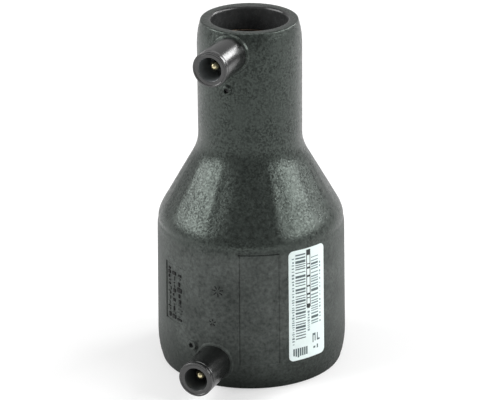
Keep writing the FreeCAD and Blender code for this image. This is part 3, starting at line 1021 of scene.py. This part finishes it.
def world():
    """A white sweep behind the object and a pale ceiling panel, in a grey room."""
    studio = bpy.data.worlds.new("studio")
    bpy.context.scene.world = studio
    studio.use_nodes = True
    tree = studio.node_tree
    background = tree.nodes["Background"]
    link = tree.links.new
    way = tree.nodes.new("ShaderNodeTexCoord")
    split = tree.nodes.new("ShaderNodeSeparateXYZ")
    link(way.outputs["Generated"], split.inputs[0])
    back, up = split.outputs["Y"], split.outputs["Z"]
    behind = mapped(tree, back, *SWEEP_BEHIND, 0.0, 1.0, smooth=True)
    over_foot = mapped(tree, up, *SWEEP_FOOT, 0.0, 1.0, smooth=True)
    under_top = mapped(tree, up, *SWEEP_TOP, 0.0, 1.0, smooth=True)
    sweep = combined(tree, "MULTIPLY", behind, combined(tree, "MULTIPLY", over_foot, under_top))
    room = mapped(tree, sweep, 0.0, 1.0, ROOM_SEEN, SWEEP_SEEN, smooth=True)
    ceiling = mapped(tree, up, *CEILING_EDGE, 0.0, CEILING_SEEN - ROOM_SEEN, smooth=True)
    strength = tree.nodes.new("ShaderNodeMix")
    strength.data_type = "FLOAT"
    strength.inputs["A"].default_value = WORLD_FILL
    link(seen_directly(tree), strength.inputs["Factor"])
    link(combined(tree, "ADD", room, ceiling), strength.inputs["B"])
    link(strength.outputs["Result"], background.inputs["Strength"])
    background.inputs["Color"].default_value = (1.0, 1.0, 1.0, 1.0)


def lights():
    """Softboxes that face the middle of the part."""
    target = Vector((0.0, 0.0, LENGTH / 2))
    for name, azimuth, elevation, distance, width, height, watts in SOFTBOXES:
        data = bpy.data.lights.new(name, "AREA")
        data.shape = "RECTANGLE"
        data.size, data.size_y = width, height
        data.energy = watts
        lamp = bpy.data.objects.new(name, data)
        up = math.radians(elevation)
        lamp.location = target + on_axis(azimuth, distance * math.cos(up), distance * math.sin(up))
        lamp.rotation_euler = (lamp.location - target).to_track_quat("Z", "Y").to_euler()
        bpy.context.scene.collection.objects.link(lamp)


def camera():
    """The camera, turned a little about its own axis as the photograph is."""
    forward = Vector((0.0, math.cos(CAMERA_PITCH), -math.sin(CAMERA_PITCH)))
    level = Vector((1.0, 0.0, 0.0))
    down = forward.cross(level)
    right = level * math.cos(CAMERA_ROLL) + down * math.sin(CAMERA_ROLL)
    up = level * math.sin(CAMERA_ROLL) - down * math.cos(CAMERA_ROLL)
    turn = Matrix((right, up, -forward)).transposed().to_4x4()
    data = bpy.data.cameras.new("photo_camera")
    data.lens = CAMERA_LENS
    data.clip_start, data.clip_end = 0.05, 20.0
    lens = bpy.data.objects.new("photo_camera", data)
    lens.matrix_world = Matrix.Translation(CAMERA_TARGET - forward * CAMERA_DISTANCE) @ turn
    bpy.context.scene.collection.objects.link(lens)
    bpy.context.scene.camera = lens


# Materials: name, colour, plain roughness, how far the colour varies, scales of the
# noises, bump, and the range of roughness
black = polyethylene()
# The dull material's darker colour is painted shade on the raised marks; its rougher, less glossy
# surface is their own
dull_painted_shade = grained(
    "dull polyethylene", (0.007, 0.008, 0.0075), 0.6, 0.3, (200.0, 900.0, 2200.0), 0.3, (0.5, 0.65),
    specular=0.25)
# The socket walls are smoother, and their paler colour is painted light in the bores
socket_painted_light = grained(
    "socket polyethylene", (0.033, 0.034, 0.034), 0.25, 0.25, (90.0, 500.0, 1800.0), 0.02, (0.22, 0.3),
    specular=0.4)
shroud_black = grained(
    "shroud polymer", (0.0055, 0.006, 0.0058), 0.22, 0.2, (120.0, 500.0, 1500.0), 0.03, (0.19, 0.26),
    specular=0.95)
# Painted light: the shrouds' inner faces are paler than their outside to stand for light in the holes;
# the large one's is darker, painted shade, as that terminal lies in shadow
large_inside_painted_light = grained(
    "large shroud inside", (0.062, 0.067, 0.067), 0.4, 0.2, (120.0, 500.0, 1500.0), 0.03, (0.35, 0.45))
small_inside_painted_light = grained(
    "small shroud inside", (0.14, 0.152, 0.156), 0.4, 0.2, (120.0, 500.0, 1500.0), 0.03, (0.35, 0.45))
brass = grained(
    "terminal brass", (0.64, 0.57, 0.36), 0.16, 0.12, (200.0, 900.0, 3000.0), 0.05, (0.08, 0.16),
    metallic=1.0)
wire = grained(
    "resistance wire", (0.3, 0.22, 0.16), 0.45, 0.15, (150.0, 900.0, 3000.0), 0.1, (0.38, 0.52),
    metallic=1.0)
plug = grained(
    "indicator polymer", (0.018, 0.018, 0.019), 0.45, 0.3, (150.0, 1200.0, 2600.0), 0.3, (0.4, 0.55))
film = grained(
    "label film", (0.8, 0.9, 0.885), 0.35, 0.04, (60.0, 400.0, 1500.0), 0.03, (0.3, 0.4))
inks = [
    grained(name, colour, 0.5, 0.25, (300.0, 1500.0, 3000.0), 0.03, (0.45, 0.6))
    for name, colour in (
        ("dark print", (0.016, 0.022, 0.022)),
        ("grey print", (0.085, 0.12, 0.125)),
        ("pale print", (0.2, 0.27, 0.28)),
    )
]

body_piece(black, socket_painted_light)
panel_marks((black, dull_painted_shade))
mould_marks(dull_painted_shade)
lower = (LARGE_RADIUS, LARGE_TERMINAL_Z)
upper = (SMALL_RADIUS, SMALL_TERMINAL_Z)
shroud_piece("large_sleeve", "large_terminal_shroud", *lower, (shroud_black, large_inside_painted_light))
shroud_piece("small_sleeve", "small_terminal_shroud", *upper, (shroud_black, small_inside_painted_light))
pin_piece("large_contact", "large_terminal_pin", *lower, brass)
pin_piece("small_contact", "small_terminal_pin", *upper, brass)
wire_piece(wire)
label_piece(film)
label_print(*inks)
for indicator_node in ("large_fusion_indicator", "small_fusion_indicator"):
    frame["nodes"][indicator_node].data.materials.clear()
    frame["nodes"][indicator_node].data.materials.append(plug)
floor()
world()
lights()
camera()
bpy.context.scene.view_settings.view_transform = "Standard"
